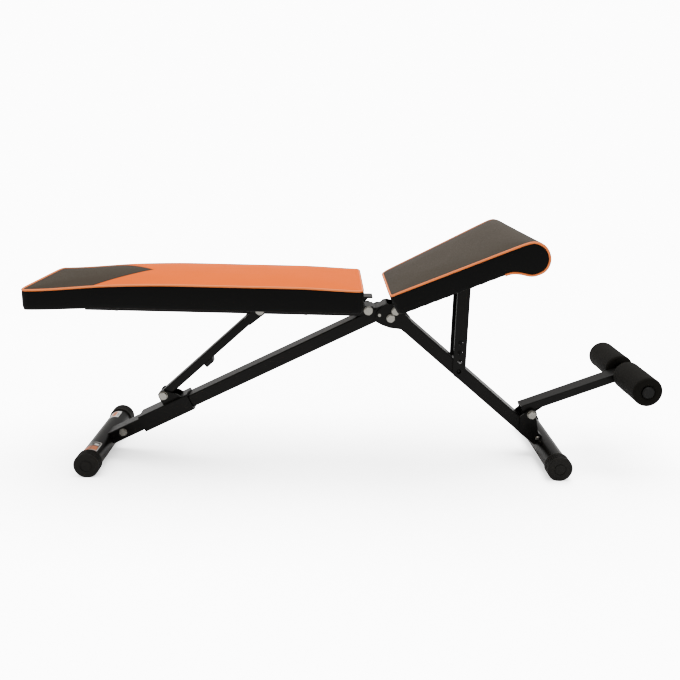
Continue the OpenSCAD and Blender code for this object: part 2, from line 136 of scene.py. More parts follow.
# ---------- meshes ----------
def linked(name, data):
    """A new object in the scene."""
    obj = bpy.data.objects.new(name, data)
    bpy.context.scene.collection.objects.link(obj)
    return obj


def piece(name, mesh, body, materials):
    """A finished object at the origin that rides on a body."""
    obj = linked(name, mesh)
    numbers = [face.material_index for face in mesh.polygons]
    mesh.materials.clear()
    for material in materials:
        mesh.materials.append(material)
    for face, number in zip(mesh.polygons, numbers):
        face.material_index = number
        face.use_smooth = True
    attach(obj, body)
    return obj


def mesh_from(bm, name):
    """Closes a bmesh into a mesh whose faces point outwards."""
    bmesh.ops.recalc_face_normals(bm, faces=bm.faces)
    mesh = bpy.data.meshes.new(name)
    bm.to_mesh(mesh)
    bm.free()
    return mesh


def evaluated_mesh(mesh, kind, **settings):
    """The mesh with one modifier applied."""
    scratch = linked("scratch", mesh)
    modifier = scratch.modifiers.new("step", kind)
    for key, value in settings.items():
        setattr(modifier, key, value)
    graph = bpy.context.evaluated_depsgraph_get()
    result = bpy.data.meshes.new_from_object(scratch.evaluated_get(graph))
    bpy.data.objects.remove(scratch)
    return result


def tube_along(points, radius, closed, name, ripple=0.0):
    """A round cord mesh that follows points, with ripples across it if asked."""
    curve = bpy.data.curves.new(name, "CURVE")
    curve.dimensions = "3D"
    curve.bevel_depth = radius
    curve.bevel_resolution = 4
    curve.use_fill_caps = True
    spline = curve.splines.new("POLY")
    spline.points.add(len(points) - 1)
    for k, (target, point) in enumerate(zip(spline.points, points)):
        target.co = (*point, 1.0)
        target.radius = 1 + ripple * math.sin(2.1 * k)
    spline.use_cyclic_u = closed
    scratch = linked("scratch", curve)
    mesh = bpy.data.meshes.new_from_object(scratch.evaluated_get(bpy.context.evaluated_depsgraph_get()))
    bpy.data.objects.remove(scratch)
    return mesh


def arc(cx, cy, radius, start, end, steps):
    """Points and outward directions on an arc, angles in degrees."""
    for k in range(steps + 1):
        a = math.radians(start + (end - start) * k / steps)
        out = Vector((math.cos(a), math.sin(a)))
        yield Vector((cx + radius * math.cos(a), cy + radius * math.sin(a))), out


def rise(edge):
    """How far an edge climbs."""
    return abs(edge.verts[0].co.z - edge.verts[1].co.z)


def rounded(bm, edges, offset, segments):
    """Rounds some edges of a blank."""
    bmesh.ops.bevel(bm, geom=edges, offset=offset, segments=segments,
                    profile=0.5, affect="EDGES", material=-1)


def smooth(t):
    """Eases from 0 to 1."""
    t = max(0.0, min(1.0, t))
    return t * t * (3 - 2 * t)


# ---------- cloth ----------
CLOTH_FRAMES = 20


def plump(mesh, held, limit):
    """Swells a closed cover with air pressure while held vertices stay, and caps the movement."""
    obj = linked("cover", mesh)
    rest = [v.co.copy() for v in mesh.vertices]
    group = obj.vertex_groups.new(name="held")
    group.add([v.index for v in mesh.vertices if held(v.co)], 1.0, "REPLACE")
    cloth = obj.modifiers.new("cloth", "CLOTH")
    cloth.settings.vertex_group_mass = "held"
    cloth.settings.use_pressure = True
    cloth.settings.uniform_pressure_force = 4.0
    cloth.settings.effector_weights.gravity = 0.0
    cloth.settings.tension_stiffness = 25.0
    cloth.settings.compression_stiffness = 25.0
    cloth.settings.bending_stiffness = 2.0
    scene = bpy.context.scene
    for step in range(1, CLOTH_FRAMES + 1):
        scene.frame_set(step)
    graph = bpy.context.evaluated_depsgraph_get()
    swollen = [v.co.copy() for v in obj.evaluated_get(graph).data.vertices]
    scene.frame_set(1)
    obj.modifiers.clear()
    for vertex, before, after in zip(mesh.vertices, rest, swollen):
        move = after - before
        if move.length > limit:
            move *= limit / move.length
        vertex.co = before + move
    bpy.data.objects.remove(obj)
    mesh.update()
    return mesh


def near_path(points, reach):
    """A test for being within reach of a path."""
    tree = KDTree(len(points))
    for k, point in enumerate(points):
        tree.insert(point, k)
    tree.balance()
    return lambda co: tree.find(co)[2] < reach


def seam_line(mesh, edge, reach=0.03):
    """Drops each nominal edge point onto the cover along its outward direction."""
    tree = BVHTree.FromPolygons([v.co for v in mesh.vertices], [p.vertices for p in mesh.polygons])
    line = []
    for point, out in edge:
        hit = tree.ray_cast(point + out * reach, -out, 2 * reach)[0]
        if hit is None:
            hit = tree.find_nearest(point)[0]
        line.append(hit + out * 0.4 * MM)
    for _ in range(3):
        for k in range(1, len(line) - 1):
            line[k] = (line[k - 1] + line[k] * 2 + line[k + 1]) / 4
    return line


def paint_faces(mesh, chooser):
    """Gives each face the material number that chooser returns for its centre and normal."""
    for face in mesh.polygons:
        face.material_index = chooser(face.center, face.normal)


# ---------- materials ----------
def socket(n, key):
    """A node's input by number, or by name with underscores for spaces."""
    return n.inputs[key] if isinstance(key, int) else n.inputs[key.replace("_", " ")]


class Shader:
    """A material's node tree, with short calls to add nodes."""

    def __init__(self, name):
        self.material = bpy.data.materials.get(name) or bpy.data.materials.new(name)
        self.material.use_nodes = True
        self.tree = self.material.node_tree
        self.tree.nodes.clear()
        self.surface = self.tree.nodes.new("ShaderNodeBsdfPrincipled")
        output = self.tree.nodes.new("ShaderNodeOutputMaterial")
        self.tree.links.new(self.surface.outputs[0], output.inputs["Surface"])
        self.place = self.tree.nodes.new("ShaderNodeTexCoord").outputs["Object"]

    def add(self, kind, settings=(), out=0, **values):
        n = self.tree.nodes.new("ShaderNode" + kind)
        for key, value in dict(settings).items():
            setattr(n, key, value)
        for key, value in values.items():
            self.put(n, key, value)
        return n.outputs[out]

    def put(self, n, key, value):
        target = socket(n, key)
        if isinstance(value, bpy.types.NodeSocket):
            self.tree.links.new(value, target)
        else:
            target.default_value = value

    def math(self, operation, a, b=0.0):
        n = self.tree.nodes.new("ShaderNodeMath")
        n.operation = operation
        self.put(n, 0, a)
        self.put(n, 1, b)
        return n.outputs[0]

    def mix(self, factor, a, b):
        n = self.tree.nodes.new("ShaderNodeMix")
        n.data_type = "RGBA"
        for key, value in ((0, factor), (6, a), (7, b)):
            self.put(n, key, value)
        return n.outputs[2]

    def span(self, value, low, high, new_low, new_high):
        n = self.tree.nodes.new("ShaderNodeMapRange")
        for key, item in zip(("Value", "From_Min", "From_Max", "To_Min", "To_Max"),
                             (value, low, high, new_low, new_high)):
            self.put(n, key, item)
        return n.outputs[0]

    def turned(self, matrix):
        """Coordinates in a local frame."""
        back = matrix.inverted()
        return self.add("Mapping", Vector=self.place, Location=back.translation, Rotation=back.to_euler())

    def stretched(self, x, y, z):
        return self.add("Mapping", Vector=self.place, Scale=(x, y, z))

    def noise(self, scale, detail=3.0, vector=None):
        return self.add("TexNoise", Vector=vector or self.place, Scale=scale, Detail=detail)

    def cells(self, scale, feature="F1", vector=None):
        return self.add("TexVoronoi", {"feature": feature}, Vector=vector or self.place, Scale=scale)

    def bump(self, height, strength, distance, under=None):
        n = self.tree.nodes.new("ShaderNodeBump")
        self.put(n, "Height", height)
        self.put(n, "Strength", strength)
        self.put(n, "Distance", distance)
        if under is not None:
            self.put(n, "Normal", under)
        return n.outputs[0]

    def set(self, **values):
        for key, value in values.items():
            self.put(self.surface, key, value)
        return self.material


def rgba(rgb, gain=1.0):
    """An opaque colour, brightened or darkened by gain."""
    return (rgb[0] * gain, rgb[1] * gain, rgb[2] * gain, 1.0)


def vinyl_grain(shader, strength):
    """Fine pebbled leather grain, with soft unevenness of the foam beneath."""
    pebbles = shader.cells(620.0, "DISTANCE_TO_EDGE")
    pores = shader.noise(1500.0, 2.0)
    grain = shader.math("ADD", shader.math("MINIMUM", pebbles, 0.25), shader.math("MULTIPLY", pores, 0.22))
    soft = shader.bump(shader.noise(9.0, 2.0), 0.25, 2.0 * MM)
    return shader.bump(grain, strength, 0.35 * MM, soft)


def vinyl(name, rgb, level, rough=0.46, strength=0.32):
    """One-colour vinyl."""
    shader = Shader(name)
    cloud = shader.noise(14.0, 4.0)
    base = shader.mix(cloud, rgba(rgb, 0.90), rgba(rgb, 1.10))
    fine = shader.span(shader.noise(260.0, 2.0), 0.3, 0.7, rough - 0.05, rough + 0.06)
    return shader.set(Base_Color=base, Roughness=fine, Specular_IOR_Level=level,
                      Normal=vinyl_grain(shader, strength))


def side_vinyl(colours):
    """Matt black vinyl of the pads' sides."""
    return vinyl("side_vinyl", colours.side, 0.07, 0.55, 0.25)


def grey_vinyl(colours):
    """Grey vinyl of the seat top."""
    return vinyl("grey_vinyl", colours.grey, 0.03)


def piping_vinyl_painted_highlight(colours):
    """Orange vinyl of the piping, in a lighter orange than the backrest top: a painted highlight on the round
    cord.
    """
    return vinyl("orange_piping_painted_highlight", colours.trim, 0.25)


VEE_TIP = -0.508
VEE_SLOPE = 0.78


def backrest_top_vinyl(colours):
    """Orange vinyl with a grey panel at the head end, met along a vee that points at the hub."""
    shader = Shader("backrest_top_vinyl")
    local = shader.turned(BACK_FRAME)
    split = shader.tree.nodes.new("ShaderNodeSeparateXYZ")
    shader.put(split, 0, local)
    across = shader.math("ABSOLUTE", split.outputs["Y"])
    line = shader.math("ADD", split.outputs["X"], shader.math("MULTIPLY", across, VEE_SLOPE))
    grey_part = shader.math("LESS_THAN", line, VEE_TIP)
    cloud = shader.noise(14.0, 4.0)
    orange = shader.mix(cloud, rgba(colours.orange, 0.94), rgba(colours.orange, 1.05))
    grey = shader.mix(cloud, rgba(colours.grey, 0.90), rgba(colours.grey, 1.10))
    rough = shader.span(shader.noise(260.0, 2.0), 0.3, 0.7, 0.42, 0.54)
    return shader.set(Base_Color=shader.mix(grey_part, orange, grey), Roughness=rough,
                      Specular_IOR_Level=0.01, Normal=vinyl_grain(shader, 0.30))


def powder_coat(colours):
    """Satin powder coat with orange peel, dust specks and faint rub marks."""
    shader = Shader("black_powder_coat")
    peel = shader.noise(900.0, 2.0)
    rubs = shader.noise(60.0, 6.0, shader.stretched(1.0, 6.0, 6.0))
    rough = shader.span(rubs, 0.35, 0.75, 0.30, 0.42)
    base = shader.mix(shader.noise(25.0, 5.0), rgba(colours.steel, 0.8), rgba(colours.steel, 1.35))
    return shader.set(Base_Color=base, Roughness=rough, Specular_IOR_Level=0.12,
                      Normal=shader.bump(peel, 0.16, 0.25 * MM))


def zinc_plate(colours):
    """Bright zinc with a fine rolled texture and uneven passivation."""
    shader = Shader("zinc_plate")
    patches = shader.noise(180.0, 5.0)
    tone = shader.mix(patches, rgba(colours.zinc, 0.86), rgba(colours.zinc, 1.06))
    rough = shader.span(shader.noise(500.0, 4.0), 0.3, 0.7, 0.24, 0.42)
    return shader.set(Base_Color=tone, Metallic=1.0, Roughness=rough,
                      Normal=shader.bump(shader.noise(1400.0, 2.0), 0.12, 0.15 * MM))


def moulded(name, rgb, rough, level, scale):
    """Moulded rubber or plastic with spark-eroded texture."""
    shader = Shader(name)
    grain = shader.cells(scale)
    tone = shader.mix(shader.noise(40.0, 4.0), rgba(rgb, 0.8), rgba(rgb, 1.3))
    dull = shader.span(shader.noise(220.0, 3.0), 0.3, 0.7, rough - 0.07, rough + 0.07)
    return shader.set(Base_Color=tone, Roughness=dull, Specular_IOR_Level=level,
                      Normal=shader.bump(grain, 0.22, 0.2 * MM))


def foam_skin(colours):
    """Closed-cell foam: matte, with fine open cells and soft dents, and painted shade in the cells: each is darker
    at its sunken centre.
    """
    shader = Shader("foam_skin")
    cells = shader.cells(850.0)
    dents = shader.noise(45.0, 3.0)
    # Painted shade: the same cells that sink the bump make each cell darker at its centre and lighter towards its
    # rim.
    tone = shader.mix(cells, rgba(colours.foam, 0.7), rgba(colours.foam, 1.5))
    soft = shader.bump(dents, 0.35, 1.0 * MM)
    return shader.set(Base_Color=tone, Roughness=0.86, Specular_IOR_Level=0.08, Sheen_Weight=0.01,
                      Sheen_Roughness=0.5, Normal=shader.bump(cells, 0.45, 0.4 * MM, soft))


def plywood(colours):
    """Plain birch ply with long grain and knots of darker figure."""
    shader = Shader("plywood")
    along = shader.stretched(1.5, 22.0, 22.0)
    figure = shader.noise(7.0, 7.0, along)
    fibres = shader.noise(60.0, 3.0, along)
    grain = shader.span(figure, 0.35, 0.65, 0.0, 1.0)
    tone = shader.mix(grain, rgba(colours.ply, 0.72), rgba(colours.ply, 1.1))
    return shader.set(Base_Color=tone, Roughness=0.72, Specular_IOR_Level=0.3,
                      Normal=shader.bump(fibres, 0.3, 0.2 * MM))


def label_paper(name, rgb):
    """Printed label film with slight mottling."""
    shader = Shader(name)
    tone = shader.mix(shader.noise(120.0, 3.0), rgba(rgb, 0.9), rgba(rgb, 1.03))
    return shader.set(Base_Color=tone, Roughness=0.38, Specular_IOR_Level=0.4,
                      Normal=shader.bump(shader.noise(700.0, 2.0), 0.05, 0.1 * MM))


# ---------- backrest pad ----------
BACK_X = (-0.7705, -0.0165)
BACK_Z = (0.0160, 0.0740)
BACK_HALF = 0.1425
DROOP_RUN = 0.34
SAG_RUN = 0.20
HUB_RUN = 0.15
BACK_UPRIGHT = 10 * MM
UNDERSIDE = 21 * MM
RIM = 3 * MM
PATH_STEP = 12 * MM
SEAM_HOLD = 5.5 * MM
SEAM_WIDTH = 2.6 * MM
TOP_FACING = 0.68
TOP_ZONE = 45 * MM


def head_sag(x, pads):
    """How far the whole pad hangs at x."""
    return smooth((BACK_X[0] + SAG_RUN - x) / SAG_RUN) * pads.head_sag


def back_droop(x, pads):
    """How far the top edge has dropped at x."""
    head = smooth((BACK_X[0] + DROOP_RUN - x) / DROOP_RUN) * pads.head_droop
    hub = smooth((x - BACK_X[1] + HUB_RUN) / HUB_RUN) * pads.hub_droop
    return head + hub


def back_blank(pads):
    """The backrest pad's plain body with rounded corners."""
    bm = bmesh.new()
    low = Vector((BACK_X[0], -BACK_HALF, BACK_Z[0]))
    high = Vector((BACK_X[1], BACK_HALF, BACK_Z[1]))
    shape = Matrix.Translation((low + high) / 2) @ Matrix.Diagonal((*(high - low), 1.0))
    bmesh.ops.create_cube(bm, size=1.0, matrix=shape)
    rounded(bm, [e for e in bm.edges if rise(e) > BACK_UPRIGHT], pads.back_corner, 8)
    for level in BACK_Z:
        rim = [e for e in bm.edges if all(abs(v.co.z - level) < 1e-5 for v in e.verts)]
        rounded(bm, rim, RIM, 4)
    return mesh_from(bm, "backrest_blank")


def back_edge(pads):
    """The top edge of the backrest pad, as points and outward directions."""
    r = pads.back_corner
    cx = (BACK_X[0] + r, BACK_X[1] - r)
    cy = BACK_HALF - r
    flat = []
    for centre_x, centre_y, start in ((cx[1], cy, 0), (cx[0], cy, 90), (cx[0], -cy, 180), (cx[1], -cy, 270)):
        flat.extend(arc(centre_x, centre_y, r, start, start + 90, 10))
    edge = []
    for k, (point, out) in enumerate(flat):
        ahead, ahead_out = flat[(k + 1) % len(flat)]
        steps = max(1, round((ahead - point).length / PATH_STEP))
        for j in range(steps):
            p = point.lerp(ahead, j / steps)
            o = out.lerp(ahead_out, j / steps).normalized()
            z = BACK_Z[1] - back_droop(p.x, pads) - head_sag(p.x, pads)
            edge.append((Vector((p.x, p.y, z)), Vector((o.x, o.y, 1.0)).normalized()))
    return edge


def shape_back(mesh, pads):
    """Droops the ends and crowns the top."""
    middle = (BACK_X[0] + BACK_X[1]) / 2
    half_length = (BACK_X[1] - BACK_X[0]) / 2
    for v in mesh.vertices:
        t = (v.co.z - BACK_Z[0]) / (BACK_Z[1] - BACK_Z[0])
        across = max(0.0, 1 - (v.co.y / BACK_HALF) ** 4)
        along = max(0.0, 1 - ((v.co.x - middle) / half_length) ** 8)
        v.co.z += t * t * pads.back_crown * across * along - smooth(t) * back_droop(v.co.x, pads)
        v.co.z -= head_sag(v.co.x, pads)
    return mesh


def sew_vee(mesh, depth):
    """Sinks the seam between the two colours of the backrest."""
    for v in mesh.vertices:
        if v.co.z < TOP_ZONE or abs(v.co.y) > BACK_HALF - RIM:
            continue
        gap = abs(v.co.x + VEE_SLOPE * abs(v.co.y) - VEE_TIP) / math.hypot(1, VEE_SLOPE)
        v.co.z -= depth * math.exp(-(gap / SEAM_WIDTH) ** 2)
    return mesh


def padded_cover(blank, held_line, held_low, pads, shaping=None):
    """Remeshes a blank, swells it with its seams held, and subdivides it once."""
    mesh = evaluated_mesh(blank, "REMESH", mode="VOXEL", voxel_size=pads.voxel, adaptivity=0.0)
    if shaping:
        shaping(mesh)
    on_line = near_path(held_line, SEAM_HOLD)
    plump(mesh, lambda co: on_line(co) or held_low(co), pads.puff)
    return evaluated_mesh(mesh, "SUBSURF", levels=1, render_levels=1)


def build_backrest(pads, colours):
    """The backrest cushion in two colours, and its piping."""
    edge = back_edge(pads)
    cover = padded_cover(back_blank(pads), [p for p, _ in edge], lambda co: co.z < UNDERSIDE, pads,
                         lambda mesh: shape_back(mesh, pads))
    line = seam_line(cover, edge)
    sew_vee(cover, pads.seam_depth)
    paint_faces(cover, lambda centre, normal: 0 if normal.z > TOP_FACING else 1)
    cover.transform(BACK_FRAME)
    pad = piece("backrest_cushion", cover, "backrest",
                [backrest_top_vinyl(colours), side_vinyl(colours)])
    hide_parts("back_pad")
    cord = tube_along([BACK_FRAME @ p for p in line], pads.piping, True, "backrest_piping")
    piece("backrest_piping", cord, "backrest", [piping_vinyl_painted_highlight(colours)])


# ---------- seat pad ----------
SEAT_S = (0.003, 0.308)
SEAT_BASE = 0.016
SEAT_HALF = (0.1465, 0.2125)
ROLL = (0.308, 0.0280)
ROLL_R = 0.0375
FILLET_R = 0.045
BOARD_END = 0.245
SEAT_UPRIGHT = 30 * MM
HUB_ZONE = 30 * MM
SIDE_FACING = 0.7
UNDER_FACING = -0.5


def seat_half(s):
    """Half the seat pad's width at s."""
    return SEAT_HALF[0] + (SEAT_HALF[1] - SEAT_HALF[0]) * (s - SEAT_S[0]) / (SEAT_S[1] - SEAT_S[0])


def roll_profile():
    """The seat's side outline from the underside round the roll to the top, with outward directions."""
    drop = ROLL[1] - (SEAT_BASE - FILLET_R)
    run = math.sqrt((ROLL_R + FILLET_R) ** 2 - drop ** 2)
    turn = math.degrees(math.atan2(drop, run))
    yield Vector((BOARD_END, SEAT_BASE)), Vector((0, -1))
    for point, out in arc(ROLL[0] - run, SEAT_BASE - FILLET_R, FILLET_R, 90, turn, 6):
        yield point, -out
    yield from arc(*ROLL, ROLL_R, turn - 180, 90, 28)


def seat_blank(pads):
    """The seat pad's plain body: the outline drawn across and narrowed towards the hub."""
    outline = [p for p, _ in roll_profile()]
    outline += [Vector((SEAT_S[0], ROLL[1] + ROLL_R)), Vector((SEAT_S[0], SEAT_BASE))]
    bm = bmesh.new()
    ring = [bm.verts.new((p.x, -1.0, p.y)) for p in outline]
    side = bm.faces.new(ring)
    grown = bmesh.ops.extrude_face_region(bm, geom=[side])["geom"]
    bmesh.ops.translate(bm, vec=(0, 2.0, 0), verts=[g for g in grown if isinstance(g, bmesh.types.BMVert)])
    for v in bm.verts:
        v.co.y *= seat_half(v.co.x)
    corners = [e for e in bm.edges
               if rise(e) > SEAT_UPRIGHT and all(v.co.x < SEAT_S[0] + MM for v in e.verts)]
    rounded(bm, corners, pads.seat_corner, 6)
    return mesh_from(bm, "seat_blank")


def seat_edge(pads):
    """The seat's piped edge, from under the near side round the roll, across the hub end and back."""
    near = [(Vector((p.x, -seat_half(p.x), p.y)), Vector((o.x, -1.0, o.y)).normalized())
            for p, o in roll_profile()]
    top = ROLL[1] + ROLL_R
    r = pads.seat_corner
    first = ROLL[0] - PATH_STEP
    last = SEAT_S[0] + r
    steps = round((first - last) / PATH_STEP)
    for k in range(steps + 1):
        s = first + (last - first) * k / steps
        near.append((Vector((s, -seat_half(s), top)), Vector((0, -1, 1)).normalized()))
    lean = math.degrees(math.atan2(SEAT_HALF[1] - SEAT_HALF[0], SEAT_S[1] - SEAT_S[0]))
    for point, out in arc(last, -(seat_half(last) - r), r, -90 - lean, -180, 8):
        near.append((Vector((point.x, point.y, top)), Vector((out.x, out.y, 1.0)).normalized()))
    start = near[-1][0].y
    for k in range(1, 12):
        near.append((Vector((SEAT_S[0], start * (1 - k / 12), top)), Vector((-1, 0, 1)).normalized()))
    flip = Vector((1, -1, 1))
    middle = [(Vector((SEAT_S[0], 0, top)), Vector((-1, 0, 1)).normalized())]
    return near + middle + [(p * flip, o * flip) for p, o in reversed(near)]


def build_seat(pads, colours):
    """The seat cushion with its knee roll, and its piping."""
    edge = seat_edge(pads)
    dense = []
    for (a, _), (b, _) in zip(edge, edge[1:]):
        dense += [a, a.lerp(b, 0.5)]
    cover = padded_cover(seat_blank(pads), dense, lambda co: co.z < UNDERSIDE and co.x < BOARD_END, pads)
    line = seam_line(cover, edge)
    paint_faces(cover, seat_panel)
    cover.transform(SEAT_FRAME)
    pad = piece("seat_cushion", cover, "seat",
                [grey_vinyl(colours), side_vinyl(colours)])
    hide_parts("seat_pad")
    cord = tube_along([SEAT_FRAME @ p for p in line], pads.piping, False, "seat_piping")
    piece("seat_piping", cord, "seat", [piping_vinyl_painted_highlight(colours)])


def seat_panel(centre, normal):
    """0 for the grey top and roll, 1 for the black sides, hub end and underside."""
    if abs(normal.y) > SIDE_FACING or (normal.x < -SIDE_FACING and centre.x < HUB_ZONE):
        return 1
    return 1 if normal.z < UNDER_FACING and centre.x < BOARD_END + PATH_STEP else 0


# ---------- rollers ----------
ROLLER_OVER = 0.7 * MM
ROLLER_BORE = 12.8 * MM
ROLLER_SHOULDER = 6.5 * MM
ROLLER_WAIST = 0.4 * MM
DENT_SCALE = 32
DENT_DEPTH = 0.5 * MM


def roller_mesh(node_name):
    """A foam sleeve with rounded shoulders and a dished end round the axle."""
    low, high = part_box(node_name)
    centre = (low + high) / 2
    outer = (high.z - low.z) / 2 + ROLLER_OVER
    half = (high.y - low.y) / 2
    dish = ((0, 6 * MM), (3 * MM, 2 * MM), (6 * MM, 0))
    end = [Vector((ROLLER_BORE + out, half - depth)) for out, depth in dish]
    inset = ROLLER_SHOULDER
    end += [p for p, _ in arc(outer - inset, half - inset, inset, 90, 0, 8)]
    profile = end + [Vector((outer - ROLLER_WAIST, half * k / 6)) for k in range(4, -5, -1)]
    profile += [Vector((p.x, -p.y)) for p in reversed(end)]
    bm = bmesh.new()
    verts = [bm.verts.new((p.x, p.y, 0)) for p in profile]
    edges = [bm.edges.new(pair) for pair in zip(verts, verts[1:] + verts[:1])]
    bmesh.ops.spin(bm, geom=verts + edges, cent=(0, 0, 0), axis=(0, 1, 0),
                   angle=math.tau, steps=72, use_merge=True)
    for v in bm.verts:
        radius = math.hypot(v.co.x, v.co.z)
        if radius > ROLLER_BORE + 4 * MM:
            dent = noise.noise(v.co * DENT_SCALE + centre * 9) * DENT_DEPTH
            v.co.x *= 1 + dent / radius
            v.co.z *= 1 + dent / radius
    bmesh.ops.translate(bm, vec=centre, verts=bm.verts)
    return mesh_from(bm, node_name)


def build_rollers(colours):
    """A foam sleeve for each roller."""
    skin = foam_skin(colours)
    for side in ("near", "far"):
        sleeve = piece(f"foam_roller_{side}", roller_mesh(f"roller_{side}"), f"roller_{side}", [skin])
        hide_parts(f"roller_{side}")


# ---------- labels ----------
LABEL_BLACK = (0.02, 0.02, 0.02)
LABEL_ORANGE = (0.62, 0.15, 0.035)


def wrap_patch(bm, bar, lift, across, angles):
    """A thin curved patch on a bar along Y: its span in y, its angles from the top in degrees."""
    centre, radius = bar
    start = math.radians(angles[0])
    out = Vector((math.sin(start), 0, math.cos(start)))
    edge_points = [centre + out * (radius + lift) + Vector((0, y, 0)) for y in across]
    verts = [bm.verts.new(p) for p in edge_points]
    edge = bm.edges.new(verts)
    steps = max(2, round(abs(angles[1] - angles[0]) / 6))
    bmesh.ops.spin(bm, geom=[*verts, edge], cent=centre, axis=(0, 1, 0),
                   angle=math.radians(angles[1] - angles[0]), steps=steps)


def build_labels(colours):
    """Two blank labels on the rear foot bar, each a stack of plain coloured blocks."""
    low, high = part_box("rear_foot_tube")
    bar = (Vector(((low.x + high.x) / 2, 0, (low.z + high.z) / 2)), (high.x - low.x) / 2)
    papers = [label_paper("label_white", colours.label), label_paper("label_black", LABEL_BLACK),
              label_paper("label_orange", LABEL_ORANGE)]
    # Each block: lift in millimetres, span along the bar, angles from the top, number of its paper.
    near = [(0.10, (-0.128, -0.083), (-62, 36), 0), (0.22, (-0.1265, -0.0845), (-59, 33), 1),
            (0.34, (-0.126, -0.106), (-57, -6), 2), (0.34, (-0.126, -0.106), (-2, 30), 2),
            (0.34, (-0.101, -0.093), (4, 26), 0), (0.34, (-0.101, -0.099), (-52, -6), 0),
            (0.34, (-0.096, -0.094), (-52, -14), 0)]
    far = [(0.10, (0.086, 0.126), (-60, 18), 0), (0.22, (0.092, 0.122), (-28, -2), 2),
           (0.22, (0.092, 0.120), (4, 7), 1), (0.22, (0.092, 0.112), (10, 13), 1)]
    for name, patches in (("near", near), ("far", far)):
        bm = bmesh.new()
        for lift, across, angles, number in patches:
            known = set(bm.faces)
            wrap_patch(bm, bar, lift * MM, across, angles)
            for face in set(bm.faces) - known:
                face.material_index = number
        for face in bm.faces:
            if face.normal.dot(face.calc_center_median() - bar[0]) < 0:
                face.normal_flip()
        mesh = bpy.data.meshes.new(f"label_{name}")
        bm.to_mesh(mesh)
        bm.free()
        piece(f"label_{name}", mesh, "rear_leg", papers)


# ---------- welds ----------
LUG_HALF = 20.4 * MM
LUG_BEAD = (-12 * MM, 35 * MM)
LUG_BEAD_R = 1.7 * MM
FORK_HALF = 15.5 * MM
FORK_START = 43 * MM
FORK_BEAD = (-8 * MM, 8 * MM)
FORK_BEAD_R = 1.5 * MM
BEAD_STEP = 1.0 * MM
BEAD_RIPPLE = 0.16


def weld(name, start, end, radius, body, paint):
    """A rippled bead in a straight line."""
    steps = max(4, round((end - start).length / BEAD_STEP))
    points = [start.lerp(end, k / steps) for k in range(steps + 1)]
    piece(name, tube_along(points, radius, False, name, BEAD_RIPPLE), body, [paint])


def box_centre(node_name):
    """The middle of a frame node's box."""
    low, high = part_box(node_name)
    return (low + high) / 2


def build_welds(colours):
    """Beads where the strut lugs meet the sleeve and where the strut tube meets its fork."""
    paint = powder_coat(colours)
    lower = Vector(joint("strut_swing")["pos_m"])
    along = Vector(joint("sleeve_slide")["axis"]).normalized()
    up = Vector((-along.z, 0, along.x))
    upper = box_centre("strut_upper_bolt")
    upper.y = 0
    strut = (upper - lower).normalized()
    across = Vector((-strut.z, 0, strut.x))
    joint_end = upper - strut * FORK_START
    for side, sign in (("near", -1), ("far", 1)):
        foot = lower - up * LUG_HALF + Vector((0, sign * LUG_HALF, 0))
        weld(f"lug_weld_{side}", *(foot + along * end for end in LUG_BEAD), LUG_BEAD_R, "sleeve", paint)
        edge = joint_end + Vector((0, sign * FORK_HALF, 0))
        weld(f"fork_weld_{side}", *(edge + across * end for end in FORK_BEAD), FORK_BEAD_R, "strut", paint)


# ---------- finishes of the frame's own nodes ----------
FINISHES = {"black_paint": powder_coat, "zinc": zinc_plate, "foam": foam_skin, "plywood": plywood}


def finish_frame(colours):
    """Gives each frame node the material that its slot names."""
    made = {slot: maker(colours) for slot, maker in FINISHES.items()}
    made["cap_rubber"] = moulded("cap_rubber", colours.rubber, 0.62, 0.15, 700.0)
    made["black_plastic"] = moulded("black_plastic", colours.plastic, 0.50, 0.15, 900.0)
    # The frame's backrest_vinyl slot takes the piping vinyl, with its painted highlight.
    made["backrest_vinyl"] = piping_vinyl_painted_highlight(colours)
    made["seat_vinyl"] = grey_vinyl(colours)
    slots = {part["node"]: part["material_slot"] for part in frame["record"]["subparts"]}
    for name, obj in frame["nodes"].items():
        obj.data.materials.clear()
        obj.data.materials.append(made[slots[name]])


# ---------- stage ----------
def build_stage(stage):
    """A floor that only catches shadows, a bright backdrop and one soft light."""
    bm = bmesh.new()
    bmesh.ops.create_circle(bm, cap_ends=True, segments=96, radius=stage.floor_radius)
    mesh = mesh_from(bm, "studio_floor")
    floor = linked("studio_floor", mesh)
    shader = Shader("studio_floor")
    mesh.materials.append(
        shader.set(Base_Color=(0.93, 0.93, 0.93, 1.0), Roughness=0.9, Specular_IOR_Level=0.0))
    floor.is_shadow_catcher = True

    world = bpy.data.worlds.new("studio")
    bpy.context.scene.world = world
    world.use_nodes = True
    tree = world.node_tree
    tree.nodes.clear()
    seen = tree.nodes.new("ShaderNodeBackground")
    seen.inputs["Color"].default_value = (1, 1, 1, 1)
    seen.inputs["Strength"].default_value = stage.backdrop
    cast = tree.nodes.new("ShaderNodeBackground")
    cast.inputs["Color"].default_value = (1.0, 0.985, 0.965, 1)
    cast.inputs["Strength"].default_value = stage.sky
    mix = tree.nodes.new("ShaderNodeMixShader")
    tree.links.new(tree.nodes.new("ShaderNodeLightPath").outputs["Is Camera Ray"], mix.inputs[0])
    tree.links.new(cast.outputs[0], mix.inputs[1])
    tree.links.new(seen.outputs[0], mix.inputs[2])
    tree.links.new(mix.outputs[0], tree.nodes.new("ShaderNodeOutputWorld").inputs["Surface"])

    soft_light("overhead_softbox", place=(0.0, 0.5, 2.6), size=(3.4, 2.4), power=stage.overhead,
               target=(0.0, 0.0, 0.3))


